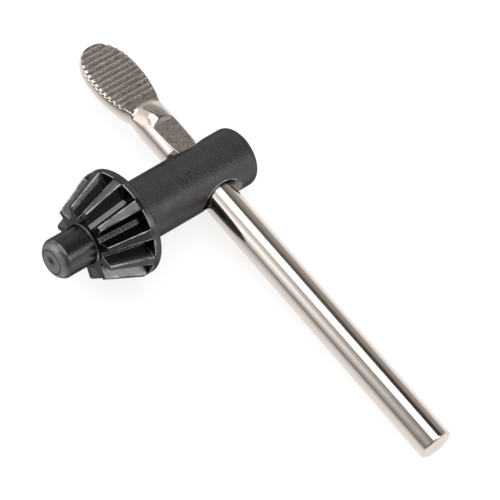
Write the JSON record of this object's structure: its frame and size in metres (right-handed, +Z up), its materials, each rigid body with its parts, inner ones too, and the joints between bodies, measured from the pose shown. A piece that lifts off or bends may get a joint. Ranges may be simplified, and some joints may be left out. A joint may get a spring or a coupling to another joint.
{
  "type": "drill chuck key",
  "caption": "T-shaped key for a drill chuck: a dark turned body with a bevel gear and a pilot, and a bright cross bar flattened into a ribbed thumb grip at one end.",
  "frame": {"origin": "middle of the gear's front face, where the pilot leaves the body", "axes": "+X along the cross bar towards its plain end, +Y along the body towards its rear, +Z up from the surface that the key lies on; the body pitches 9.8 degrees and the bar dips 3.3 degrees in the rest pose"},
  "size_m": [0.1034, 0.0472, 0.0216],
  "materials": {
    "black_oxide": "hardened steel, chemically blackened, satin, with bright worn edges on the teeth",
    "nickel": "bright nickel-plated steel, rougher where the press has flattened it"
  },
  "bodies": {
    "root": {"key_body": "black_oxide", "handle": "nickel"}
  },
  "joints": []
}
